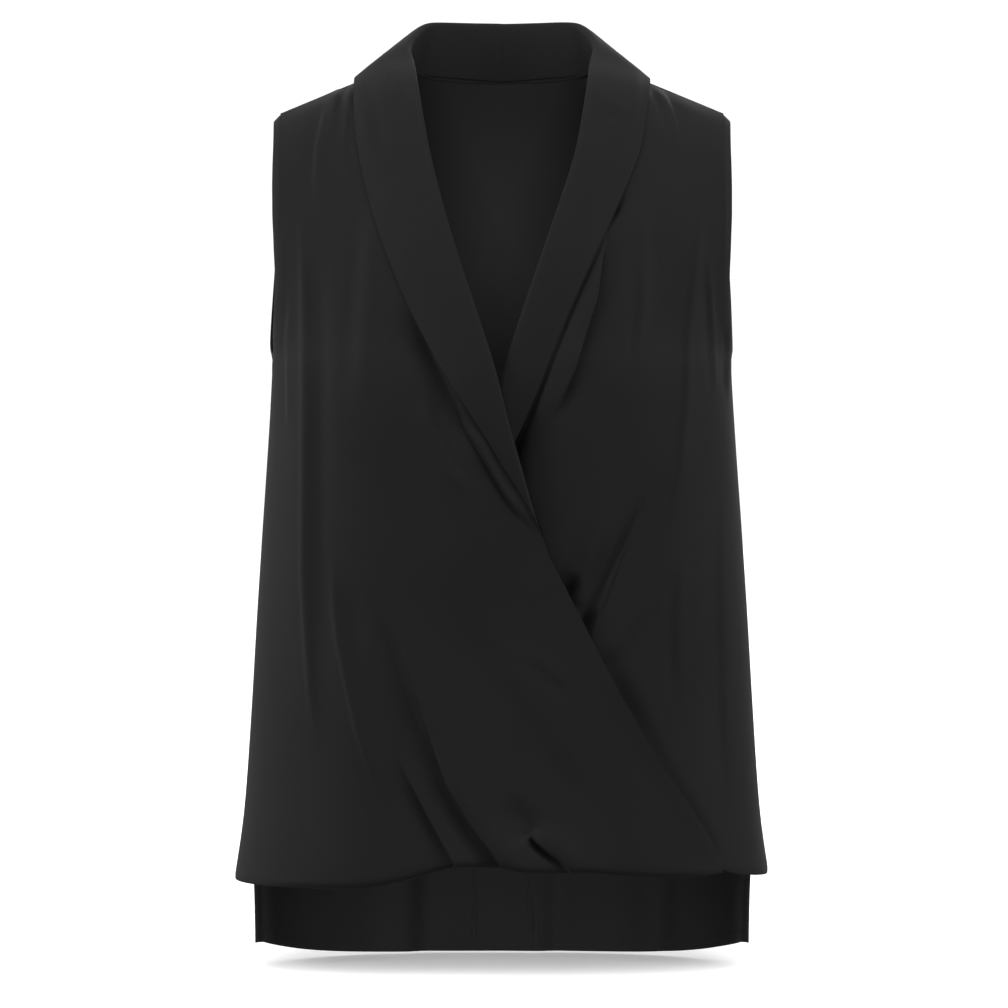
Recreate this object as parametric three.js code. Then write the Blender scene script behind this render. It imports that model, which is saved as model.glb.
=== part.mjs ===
// A sleeveless wrap top with a doubled shawl collar, in its worn, hollow form, as it hangs from the
// shoulders with no wearer. The right front laps over the left one, and the back is the longest piece.
// Millimetres, +Z up. The front faces -Y and the wearer's right is on -X. The origin lies midway
// between the neck ends of the two shoulder seams, at their height.

import * as THREE from 'three';

// Driving dimensions
const CLOTH = 1.5;
const COLLAR_CLOTH = 1.6;
const SEAM_GAP = 0.3;
const NECK_SEAM_GAP = 0.7;
const NECK_HALF = 84;
const BACK_NECK_DROP = 8;
const UNDERARM_LEVEL = 10;
const UNDERARM = -238;
const BAND_WIDTH = 5;
const HEM_ROLL = 6;
const HEM_ROLL_TURN = { least: 0.5, most: 2 };

// Where the fronts cross, the right one stands out and the left one sinks in, each between two places
// measured across from the centre, and both from a height below the shoulders
const LAP_OUT = { lift: 3.5, from: -70, to: -12 };
const LAP_IN = { lift: -5.5, from: 42, to: 10 };
const LAP_DOWN = { from: 150, to: 260 };
const HEM_ROLLS = { from: -190, to: -110 };
const HEM_FLATTENS = { from: 120, to: 160 };

// The cross-section's squareness (2 is an ellipse), and how broadly the sloping levels cross the centre
const SQUARENESS = 2.3;
const SOFT_CENTRE = 40;

function table(columns, rows) {
  return rows.map((row) => Object.fromEntries(columns.map((name, i) => [name, row[i]])));
}

// The form that the cloth follows, a row for each level from the shoulder seam to the hem: its height
// in line with the neck end of the shoulder seam and at its own side, half widths, the place of the
// armhole's edge as a share of the depth (0 at the side seam), and the depths at the centre.
const LEVELS = table(
  [
    'level', 'neckFront', 'neckBack', 'side', 'frontHalf', 'backHalf', 'frontEdge', 'backEdge',
    'front', 'back',
  ],
  [
    [0, 0, 0, -38, 177.3, 177.3, 0.61, 0.54, 0, 0],
    [1, -6, -3, -46, 176.5, 176.5, 0.62, 0.56, 26, 24],
    [2, -18, -8, -60, 176, 176, 0.70, 0.63, 43, 38],
    [3, -36, -20, -78, 176, 176, 0.73, 0.70, 57, 50],
    [4, -62, -45, -100, 176, 176.3, 0.71, 0.69, 70, 63],
    [5, -95, -80, -128, 176, 177.5, 0.65, 0.64, 85, 77],
    [6, -130, -120, -157, 175.5, 179.5, 0.57, 0.57, 97, 88],
    [7, -169, -161, -189, 173.5, 182.5, 0.46, 0.48, 108, 97],
    [8, -206, -202, -218, 174.5, 184.6, 0.31, 0.34, 115, 102],
    [9, -231, -230, -234, 179.4, 184.4, 0.15, 0.16, 119, 104],
    [10, -238, -238, -238, 183, 183, 0, 0, 120, 105],
    [11, -262, -262, -262, 184.4, 184.4, 0, 0, 122, 106],
    [12, -310, -310, -310, 187.5, 187.5, 0, 0, 122, 106],
    [13, -370, -370, -370, 191.5, 191.5, 0, 0, 120, 105],
    [14, -440, -440, -440, 196, 196, 0, 0, 118, 104],
    [15, -510, -510, -510, 200, 200, 0, 0, 118, 104],
    [16, -575, -575, -575, 204.5, 204, 0, 0, 120, 105],
    [17, -610, -610, -610, 208, 202, 0, 0, 122, 105],
    [18, -650, -650, -650, 214, 198.5, 0, 0, 124, 106],
    [19, -730, -730, -730, 224, 197, 0, 0, 127, 106],
  ],
);
const LAST_LEVEL = LEVELS.length - 1;

// The inner edge of each front, its collar seam and then its lapping edge, measured from the centre
// towards the front's own side, and so negative where it has crossed over.
const FRONT_EDGE = table(['z', 'x'], [
  [0, 84], [-24, 77], [-57, 70.5], [-107, 58], [-161, 41], [-208, 25], [-250, 11], [-322, -9],
  [-366, -24], [-392, -37], [-435, -59], [-489, -86], [-543, -116], [-598, -152], [-622, -166],
  [-645, -173],
]);
const COLLAR_END = -372;

// The lowest line of each hem, from the wearer's right side to the left
const HEM_OF_RIGHT_FRONT = table(['x', 'z'], [
  [-220, -649], [-134, -649], [-97, -646], [-66, -639], [-40, -631], [-5, -631], [20, -635],
  [66, -635], [94, -638], [141, -641], [178, -637],
]);
const HEM_OF_LEFT_FRONT = table(['x', 'z'], [
  [-178, -618], [130, -618], [150, -622], [172, -636], [191, -641], [220, -645],
]);
const HEM_OF_BACK = table(['x', 'z'], [
  [-198, -701], [-190, -706], [-163, -714], [-120, -718.5], [-60, -719.5], [0, -719.5],
  [60, -719.5], [120, -718.5], [163, -714], [190, -706], [198, -701],
]);

// The shawl collar, a row for each section along its seam from the centre back to where it runs out.
// Round the neck the roll's place is given in full. On the fronts it is how far the roll stands proud.
const COLLAR_NECK = table(
  ['along', 'rollX', 'rollY', 'rollZ', 'edgeX', 'edgeZ', 'bend'],
  [
    [0, 0, 67, 42, 0, -22, 2.4],
    [37, 34, 63, 42.5, 44, -22, 2.4],
    [72, 62, 43, 40, 84, -20, 2.4],
    [95, 73, 22, 32, 105, -15, 2.6],
    [117, 74.5, 4, 19, 114.5, -12, 2.6],
    [145, 69, -21, 1, 116.5, -20, 2.4],
  ],
);
const ROLL_TURNS = [-0.5, -0.25, 0, 0.25, 0.5].map((share) => share * Math.PI);
const FALL_SHARES = [0.35, 0.7];
const FALL_BELLY = 0.05;
const SHOULDER_ALONG = 117;
const EDGE_PROUD = 1;
const SHOULDER_ROUND = { along: 98, wide: 38, extra: 5.8 };
const COLLAR_FRONT_COLUMNS = ['along', 'rollX', 'rollZ', 'proud', 'edgeX', 'edgeZ', 'bend'];
const COLLAR_ON_RIGHT = table(COLLAR_FRONT_COLUMNS, [
  [172, 64.5, -22, 6, 116, -36, 2],
  [210, 59, -56, 6, 114, -62, 1.8],
  [240, 54, -84, 6, 110, -88, 1.6],
  [265, 48, -107, 6, 103, -115, 1.5],
  [324, 33, -161, 6, 82, -176, 1.4],
  [375, 17, -208, 6, 58, -226, 1.3],
  [419, 4, -250, 5.5, 36, -262, 1.2],
  [457, -5, -286, 5, 18, -290, 1.1],
  [494, -15, -322, 5, -2, -322, 1],
  [520, -23, -348, 4.6, -16, -348, 0.9],
  [540, -29, -366, 4.4, -25, -366, 0.8],
  [549, -32, -373, 4.2, -29, -373, 0.7],
]);
const COLLAR_ON_LEFT = table(COLLAR_FRONT_COLUMNS, [
  [172, 65.5, -22, 6, 113.5, -36, 2],
  [210, 60, -56, 6, 110, -66, 1.8],
  [240, 55.5, -84, 6, 102, -91, 1.6],
  [265, 47, -107, 6, 90, -117, 1.5],
  [324, 29, -161, 6, 62, -176, 1.4],
  [375, 13, -208, 6, 43, -221, 1.3],
  [419, 0, -250, 5, 30, -257, 1.1],
  [457, -8, -286, 4.6, 15, -291, 1],
  [494, -17, -322, 4.4, 0, -321, 0.9],
  [520, -24, -348, 4.4, -12, -347, 0.9],
  [540, -30, -366, 4.2, -23, -366, 0.9],
  [549, -33, -373, 4, -28, -373, 0.9],
]);

// Folds large enough to change the form. The cloth stands proud by crest on the path's right as seen
// from the front, and sinks by hollow on its left, each fading over its own width. Grow gives the
// share of that at the path's points.
const FOLDS = table(
  ['on', 'crest', 'crestWide', 'hollow', 'hollowWide', 'path', 'grow'],
  [
    ['right_front', 4, 26, 2, 12,
      [[-77, -546], [-65, -570], [-54, -592], [-43, -612], [-35, -632], [-33, -650]],
      [0, 0.5, 0.9, 1, 1, 0.9]],
    ['right_front', 5, 30, 2.5, 14,
      [[-77, -472], [-66, -503], [-54, -535], [-41, -564], [-27, -592], [-10, -614], [3, -636], [5, -650]],
      [0, 0.35, 0.65, 0.9, 1, 1, 1, 0.9]],
    ['right_front', 4, 22, 4.5, 12,
      [[24, -603], [33, -614], [42, -620], [49, -628], [53, -650]],
      [0, 0.8, 1, 1, 0.9]],
    ['right_front', 3.2, 8, 1.4, 9,
      [[-48, -246], [-38, -267], [-19, -305], [-3, -331], [16, -359], [31, -381]],
      [0, 0.7, 1, 1, 0.8, 0]],
    ['right_front', -2.4, 6, -1, 7,
      [[-127, -10], [-131, -36], [-134, -75]],
      [0.3, 1, 0]],
    ['right_front', -2, 5, -1.2, 5,
      [[-118, -14], [-121, -44], [-123, -90]],
      [0.3, 1, 0]],
    ['right_front', 3, 13, -3, 13,
      [[-155, -150], [-155, -269], [-155, -406], [-152, -481], [-145, -544]],
      [0, 1, 0.9, 0.7, 0]],
    ['right_front', 2.5, 13, -2.5, 15,
      [[-132, -425], [-126, -462], [-118, -499], [-108, -532], [-90, -582]],
      [0, 0.7, 1, 0.9, 0]],
    ['left_front', -1.5, 10, -4, 13,
      [[83, -134], [78, -159], [73, -191], [64, -219], [56, -246], [46, -269], [33, -309]],
      [0, 0.4, 0.8, 1, 1, 1, 0]],
    ['left_front', -1, 7, 2.6, 6,
      [[119, -10], [127, -34], [135, -70]],
      [0.3, 1, 0]],
    ['left_front', -2, 6, 1, 5,
      [[129, -16], [138, -44], [144, -95]],
      [0.3, 1, 0]],
    ['left_front', -6, 11, 6, 9,
      [[75, -374], [64, -394], [54, -414], [44, -434]],
      [0, 0.6, 1, 1]],
    ['left_front', -5, 9, 5, 8,
      [[107, -347], [89, -386], [76, -413], [65, -443], [54, -465]],
      [0, 0.5, 0.8, 1, 1]],
    ['left_front', 3, 12, -3, 12,
      [[154, -119], [149, -186], [144, -270], [138, -324], [126, -400]],
      [0, 1, 1, 0.8, 0]],
    ['left_front', -7, 9, 7, 9,
      [[24, -291], [16, -311], [8, -331]],
      [0.2, 1, 0.2]],
    ['back', 2.5, 16, -1.5, 18,
      [[-120, -60], [-118, -140], [-112, -240], [-108, -400]],
      [0, 1, 1, 0]],
    ['back', 2, 15, -2, 15,
      [[112, -70], [116, -150], [110, -260], [104, -350]],
      [0, 1, 1, 0]],
    ['back', 3, 20, 2.5, 20,
      [[-60, -330], [-66, -450], [-70, -580], [-72, -735]],
      [0, 0.7, 1, 1]],
    ['back', 2, 18, 3, 22,
      [[30, -380], [36, -480], [40, -600], [38, -735]],
      [0, 0.7, 1, 1]],
    ['back', -4, 14, 2, 16,
      [[134, -560], [134, -650], [136, -735]],
      [0, 0.8, 1]],
    ['back', 2.5, 14, -2.5, 14,
      [[-150, -260], [-154, -400], [-150, -520]],
      [0, 1, 0]],
  ],
);
const FOLD_SHOULDER = 3;

// Rows and columns of the panels' points
const UPPER_ROWS = [0, 0.05, 0.11, 0.19, 0.28, 0.37, 0.46, 0.56, 0.66, 0.77, 0.89, 1];
const RIGHT_FRONT_LOWER_ROWS = 24;
const LEFT_FRONT_LOWER_ROWS = 18;
const BACK_LOWER_ROWS = 16;
const ROLL_ROWS = 4;
const LEFT_FRONT_COLUMNS = 23;
const BACK_SHOULDER_COLUMNS = 8;
const BACK_NECK_COLUMNS = 14;

// Shares across the right front, from its side to its inner edge, closer together where the hem
// pleats rise
const RIGHT_FRONT_COLUMN_RUNS = table(['from', 'to', 'steps'], [
  [0, 0.36, 9], [0.36, 0.74, 18], [0.74, 1, 6],
]);

// Rounds of halving or of refining a place, past which it moves less than a thousandth
const HALVINGS = 30;
const REFININGS = 5;
const STEP_OF_LEVEL = 0.02;

const clamp = THREE.MathUtils.clamp;
const lerp = THREE.MathUtils.lerp;
const smoothstep = THREE.MathUtils.smoothstep;

// Reads a column of a table smoothly between its rows, by the value of its key column
function read(rows, key, at, column) {
  const way = Math.sign(rows.at(-1)[key] - rows[0][key]);
  const last = rows.length - 1;
  let i = 0;
  while (i < last - 1 && way * (at - rows[i + 1][key]) > 0) i += 1;
  const slope = (n) => {
    const before = rows[Math.max(n - 1, 0)];
    const after = rows[Math.min(n + 1, last)];
    return (after[column] - before[column]) / (after[key] - before[key]);
  };
  const span = rows[i + 1][key] - rows[i][key];
  const t = clamp((at - rows[i][key]) / span, 0, 1);
  const start = rows[i][column];
  const end = rows[i + 1][column];
  const easeOut = t * t * (3 - 2 * t);
  const leave = t * (1 - t) * (1 - t) * slope(i) * span;
  const arrive = t * t * (t - 1) * slope(i + 1) * span;
  return start + (end - start) * easeOut + leave + arrive;
}

const FRONT = { neck: 'neckFront', half: 'frontHalf', edge: 'frontEdge', depth: 'front', way: -1 };
const BACK = { neck: 'neckBack', half: 'backHalf', edge: 'backEdge', depth: 'back', way: 1 };

// One level of the front or back form. Reach is the half width that its full curve would have.
function ringAt(form, level) {
  const half = read(LEVELS, 'level', level, form.half);
  const share = clamp(read(LEVELS, 'level', level, form.edge), 0, 0.95);
  const edgeAngle = Math.asin(share ** (SQUARENESS / 2));
  return {
    half,
    edgeAngle,
    reach: half / Math.cos(edgeAngle) ** (2 / SQUARENESS),
    depth: read(LEVELS, 'level', level, form.depth),
    neck: read(LEVELS, 'level', level, form.neck),
    side: read(LEVELS, 'level', level, 'side'),
  };
}

function heightAt(ring, x) {
  const round = (distance) => Math.hypot(distance, SOFT_CENTRE);
  const share = (round(x) - round(NECK_HALF)) / (round(ring.half) - round(NECK_HALF));
  return lerp(ring.neck, ring.side, share);
}

// Angle round a level: 0 at the form's own side seam, 90 degrees at the centre
function angleAt(ring, x) {
  const across = clamp(Math.abs(x) / ring.reach, 0, 1) ** (SQUARENESS / 2);
  const angle = Math.acos(across);
  return x >= 0 ? angle : Math.PI - angle;
}

function formPoint(form, level, angle) {
  const ring = ringAt(form, level);
  const across = Math.cos(angle);
  const x = Math.sign(across) * ring.reach * Math.abs(across) ** (2 / SQUARENESS);
  const y = form.way * ring.depth * Math.abs(Math.sin(angle)) ** (2 / SQUARENESS);
  return new THREE.Vector3(x, y, heightAt(ring, x));
}

function levelAt(form, x, z) {
  let above = 0;
  let below = LAST_LEVEL;
  for (let i = 0; i < HALVINGS; i++) {
    const middle = (above + below) / 2;
    if (heightAt(ringAt(form, middle), x) > z) above = middle;
    else below = middle;
  }
  return (above + below) / 2;
}

function formNormal(form, level, angle) {
  const step = STEP_OF_LEVEL;
  const alongRow = formPoint(form, level, Math.min(angle + step, Math.PI))
    .sub(formPoint(form, level, Math.max(angle - step, 0)));
  const downwards = formPoint(form, Math.min(level + step, LAST_LEVEL), angle)
    .sub(formPoint(form, Math.max(level - step, 0), angle));
  return alongRow.cross(downwards).multiplyScalar(-form.way).normalize();
}

// How far a fold moves the point (x, z) of a panel outwards
function foldHeight(fold, x, z) {
  let best = { distance: Infinity };
  for (let i = 0; i + 1 < fold.path.length; i++) {
    const [x0, z0] = fold.path[i];
    const [x1, z1] = fold.path[i + 1];
    const run = new THREE.Vector2(x1 - x0, z1 - z0);
    const offset = new THREE.Vector2(x - x0, z - z0);
    const share = clamp(offset.dot(run) / run.lengthSq(), 0, 1);
    const distance = offset.clone().addScaledVector(run, -share).length();
    if (distance < best.distance) {
      const side = Math.sign(run.x * offset.y - run.y * offset.x);
      best = { distance, side, grow: lerp(fold.grow[i], fold.grow[i + 1], share) };
    }
  }
  const signed = best.distance * best.side;
  const crest = fold.crest * Math.exp(-((signed / fold.crestWide) ** 2));
  const hollow = -fold.hollow * Math.exp(-((signed / fold.hollowWide) ** 2));
  return best.grow * lerp(hollow, crest, smoothstep(signed, -FOLD_SHOULDER, FOLD_SHOULDER));
}

function foldsOn(name, x, z) {
  const folds = FOLDS.filter((fold) => fold.on === name);
  return folds.reduce((sum, fold) => sum + foldHeight(fold, x, z), 0);
}

// How far a front's outer face lies from the form: the lapping one stands out, the other one sinks in
function frontLift(own, x, z) {
  const inLap = smoothstep(-z, LAP_DOWN.from, LAP_DOWN.to);
  const lap = own.name === 'right_front'
    ? LAP_OUT.lift * smoothstep(x, LAP_OUT.from, LAP_OUT.to)
    : LAP_IN.lift * smoothstep(-x, -LAP_IN.from, -LAP_IN.to);
  return lap * inLap + foldsOn(own.name, x, z);
}

// A point of a front's outer face, or off it by proud. Own x runs towards the front's own side.
function onFront(own, ownX, z, proud = 0) {
  const level = levelAt(FRONT, ownX, z);
  const angle = angleAt(ringAt(FRONT, level), ownX);
  const lift = frontLift(own, own.sign * ownX, z) + proud;
  const point = formPoint(FRONT, level, angle).addScaledVector(formNormal(FRONT, level, angle), lift);
  point.x *= own.sign;
  return point;
}

// The face's normals from its neighbours, flattened across the seams that the rules name
function normalsOf(face, outwards, flatten = () => false) {
  const rows = face.length;
  const columns = face[0].length;
  return face.map((row, i) => row.map((point, j) => {
    const alongRow = row[Math.min(j + 1, columns - 1)].clone().sub(row[Math.max(j - 1, 0)]);
    const downwards = face[Math.min(i + 1, rows - 1)][j].clone().sub(face[Math.max(i - 1, 0)][j]);
    const normal = alongRow.cross(downwards).multiplyScalar(outwards);
    if (flatten(i, j)) normal.y = 0;
    return normal.normalize();
  }));
}

function moved(face, normals, distance) {
  return face.map((row, i) => row.map((point, j) => point.clone().addScaledVector(normals[i][j], distance)));
}

// A closed wall between two like grids of points. Ringed joins the last row to the first.
function closedWall(face, reverse, ringed = false) {
  const rows = face.length;
  const columns = face[0].length;
  const last = columns - 1;
  const near = (i, j) => (i % rows) * columns + j;
  const far = (i, j) => rows * columns + near(i, j);
  const indices = [];
  const quad = (a, b, c, d) => indices.push(a, b, c, a, c, d);
  for (let i = 0; i < (ringed ? rows : rows - 1); i++) {
    for (let j = 0; j < last; j++) {
      quad(near(i, j), near(i + 1, j), near(i + 1, j + 1), near(i, j + 1));
      quad(far(i, j), far(i, j + 1), far(i + 1, j + 1), far(i + 1, j));
    }
    quad(near(i, 0), far(i, 0), far(i + 1, 0), near(i + 1, 0));
    quad(near(i, last), near(i + 1, last), far(i + 1, last), far(i, last));
  }
  for (let j = 0; j < last && !ringed; j++) {
    quad(near(0, j), near(0, j + 1), far(0, j + 1), far(0, j));
    quad(near(rows - 1, j), far(rows - 1, j), far(rows - 1, j + 1), near(rows - 1, j + 1));
  }
  const points = [...face.flat(), ...reverse.flat()];
  if (signedVolume(points, indices) < 0) indices.reverse();
  const geometry = new THREE.BufferGeometry();
  const positions = points.flatMap((point) => point.toArray());
  geometry.setAttribute('position', new THREE.Float32BufferAttribute(positions, 3));
  geometry.setIndex(indices);
  geometry.computeVertexNormals();
  return geometry;
}

function signedVolume(points, indices) {
  let volume = 0;
  for (let i = 0; i < indices.length; i += 3) {
    const [a, b, c] = [points[indices[i]], points[indices[i + 1]], points[indices[i + 2]]];
    volume += a.dot(b.clone().cross(c)) / 6;
  }
  return volume;
}

// Share of the hem's full roll at x: the lapping front rolls between its corners, the other one is flat
function hemRoll(own, x) {
  if (own.name !== 'right_front') return 0;
  const rolls = smoothstep(x, HEM_ROLLS.from, HEM_ROLLS.to);
  return rolls * (1 - smoothstep(x, HEM_FLATTENS.from, HEM_FLATTENS.to));
}

// The rows of one front: the upper ones by level, the lower ones by share of the way to the hem, and
// then the soft roll that turns the hem inwards
function frontRows(own) {
  const rows = UPPER_ROWS.map((share) => ({ level: share * UNDERARM_LEVEL }));
  for (let i = 1; i <= own.lowerRows; i++) rows.push({ down: i / own.lowerRows });
  for (let i = 1; i <= ROLL_ROWS; i++) rows.push({ down: 1, roll: i / ROLL_ROWS });
  return rows;
}

// The height of a lower row at x, and how far the hem's roll draws it inwards there
function hemPlace(own, row, x) {
  const hem = read(own.hem, 'x', x, 'z');
  if (!row.roll) return { z: lerp(UNDERARM, hem + HEM_ROLL, row.down), inwards: 0 };
  const full = lerp(HEM_ROLL_TURN.least, HEM_ROLL_TURN.most, hemRoll(own, x));
  const angle = row.roll * full;
  const deepest = Math.sin(Math.min(full, Math.PI / 2));
  return {
    z: hem + HEM_ROLL * (1 - Math.sin(angle) / deepest),
    inwards: HEM_ROLL * (1 - Math.cos(angle)),
  };
}

function frontFace(own) {
  return frontRows(own).map((row) => {
    const upper = row.level !== undefined;
    const ringOfRow = ringAt(FRONT, row.level ?? UNDERARM_LEVEL);
    const heightOf = (x) => (upper ? heightAt(ringOfRow, x) : hemPlace(own, row, own.sign * x).z);
    let inner = 0;
    for (let i = 0; i < HALVINGS; i++) inner = read(FRONT_EDGE, 'z', heightOf(inner), 'x');
    return own.columns.map((share) => {
      let level = upper ? row.level : levelAt(FRONT, 0, UNDERARM);
      let angle = 0;
      for (let i = 0; i < (upper ? 1 : REFININGS); i++) {
        const ring = ringAt(FRONT, level);
        angle = lerp(ring.edgeAngle, angleAt(ring, inner), share);
        const x = formPoint(FRONT, level, angle).x;
        if (!upper) level = levelAt(FRONT, x, heightOf(x));
      }
      const point = formPoint(FRONT, level, angle);
      const normal = formNormal(FRONT, level, angle);
      const worldX = own.sign * point.x;
      const inwards = upper ? 0 : hemPlace(own, row, worldX).inwards;
      point.addScaledVector(normal, frontLift(own, worldX, point.z) - inwards);
      point.x *= own.sign;
      return point;
    });
  });
}

const backNeckHeight = (x) => -BACK_NECK_DROP * (1 - (Math.abs(x) / NECK_HALF) ** 3);

// The level at which a column of the back meets the neck seam, or 0 where it meets the shoulder seam
function topLevel(angleOf) {
  if (Math.abs(formPoint(BACK, 0, angleOf(0)).x) > NECK_HALF - 0.01) return 0;
  let above = 0;
  let below = UNDERARM_LEVEL;
  for (let i = 0; i < HALVINGS; i++) {
    const middle = (above + below) / 2;
    const point = formPoint(BACK, middle, angleOf(middle));
    if (point.z > backNeckHeight(point.x)) above = middle;
    else below = middle;
  }
  return above;
}

// The back's columns run from +X to -X, with one at each neck end of the shoulder seams
function backColumns() {
  const ring = ringAt(BACK, 0);
  const neck = (angleAt(ring, NECK_HALF) - ring.edgeAngle) / (Math.PI - 2 * ring.edgeAngle);
  const columns = [];
  for (let i = 0; i < BACK_SHOULDER_COLUMNS; i++) columns.push(lerp(0, neck, i / BACK_SHOULDER_COLUMNS));
  for (let i = 0; i <= BACK_NECK_COLUMNS; i++) columns.push(lerp(neck, 1 - neck, i / BACK_NECK_COLUMNS));
  for (let i = 1; i <= BACK_SHOULDER_COLUMNS; i++) columns.push(lerp(1 - neck, 1, i / BACK_SHOULDER_COLUMNS));
  return columns;
}

function backFace() {
  const rows = UPPER_ROWS.map((share) => ({ share }));
  for (let i = 1; i <= BACK_LOWER_ROWS; i++) rows.push({ down: i / BACK_LOWER_ROWS });
  const columns = backColumns().map((share) => {
    const angleOf = (level) => {
      const { edgeAngle } = ringAt(BACK, level);
      return lerp(edgeAngle, Math.PI - edgeAngle, share);
    };
    const top = topLevel(angleOf);
    return rows.map((row) => {
      let level = lerp(top, UNDERARM_LEVEL, row.share ?? 1);
      for (let i = 0; i < REFININGS && row.down; i++) {
        const { x } = formPoint(BACK, level, angleOf(level));
        level = levelAt(BACK, x, lerp(UNDERARM, read(HEM_OF_BACK, 'x', x, 'z'), row.down));
      }
      const point = formPoint(BACK, level, angleOf(level));
      const normal = formNormal(BACK, level, angleOf(level));
      return point.addScaledVector(normal, foldsOn('back', point.x, point.z));
    });
  });
  return rows.map((row, i) => columns.map((column) => column[i]));
}

// Opens half the seam gap on the panel's side of the shoulder and side seams
function openSeams(face, way, isSeam) {
  face.forEach((row, i) => row.forEach((point, j) => {
    if (isSeam(i, j)) point.y += way * SEAM_GAP / 2;
  }));
}

function columnShares(runs) {
  const shares = runs.flatMap(({ from, to, steps }) => (
    Array.from({ length: steps }, (_, i) => lerp(from, to, i / steps))
  ));
  return [...shares, 1];
}

const UNDERARM_ROW = UPPER_ROWS.length - 1;

function makeFront(own) {
  const face = frontFace(own);
  const isSeam = (i, j) => i === 0 || (j === 0 && i >= UNDERARM_ROW);
  openSeams(face, -1, isSeam);
  const normals = normalsOf(face, own.sign, isSeam);
  return { ...own, face, normals, reverse: moved(face, normals, -CLOTH) };
}

function makeBack() {
  const face = backFace();
  const lastColumn = face[0].length - 1;
  const onShoulder = (j) => j <= BACK_SHOULDER_COLUMNS || j >= BACK_SHOULDER_COLUMNS + BACK_NECK_COLUMNS;
  const isSeam = (i, j) => (i === 0 && onShoulder(j)) || (i >= UNDERARM_ROW && (j === 0 || j === lastColumn));
  openSeams(face, 1, isSeam);
  const normals = normalsOf(face, -1, isSeam);
  return { face, normals, reverse: moved(face, normals, -CLOTH) };
}

// A panel's boundary as stations with the face's normal, and the way off the panel in its surface
function stationsOf(panel, places) {
  const points = places.map(([i, j]) => panel.face[i][j]);
  return places.map(([i, j], n) => {
    const run = points[Math.min(n + 1, points.length - 1)].clone().sub(points[Math.max(n - 1, 0)]);
    return { point: points[n].clone(), normal: panel.normals[i][j].clone(), run: run.normalize() };
  });
}

function joinStations(first, second) {
  const meet = first.at(-1);
  const next = second[0];
  const middle = {
    point: meet.point.clone().add(next.point).multiplyScalar(0.5),
    normal: meet.normal.clone().add(next.normal).normalize(),
    run: meet.run.clone().add(next.run).normalize(),
  };
  return [...first.slice(0, -1), middle, ...second.slice(1)];
}

// A point just off the form, behind the shoulder seam or in front of it
function onShoulders(form, x, z, proud) {
  const level = levelAt(form, x, z);
  const angle = angleAt(ringAt(form, level), x);
  return formPoint(form, level, angle).addScaledVector(formNormal(form, level, angle), proud);
}

// The roll's guides in full, with x towards the collar's own side
function rollGuides(front, rows) {
  const neck = COLLAR_NECK.map(({ along, rollX, rollY, rollZ }) => ({ along, rollX, rollY, rollZ }));
  const onPanel = rows.map(({ along, rollX, rollZ, proud }) => {
    const roll = onFront(front, rollX, rollZ, proud);
    return { along, rollX: front.sign * roll.x, rollY: roll.y, rollZ: roll.z };
  });
  return [...neck, ...onPanel];
}

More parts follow.
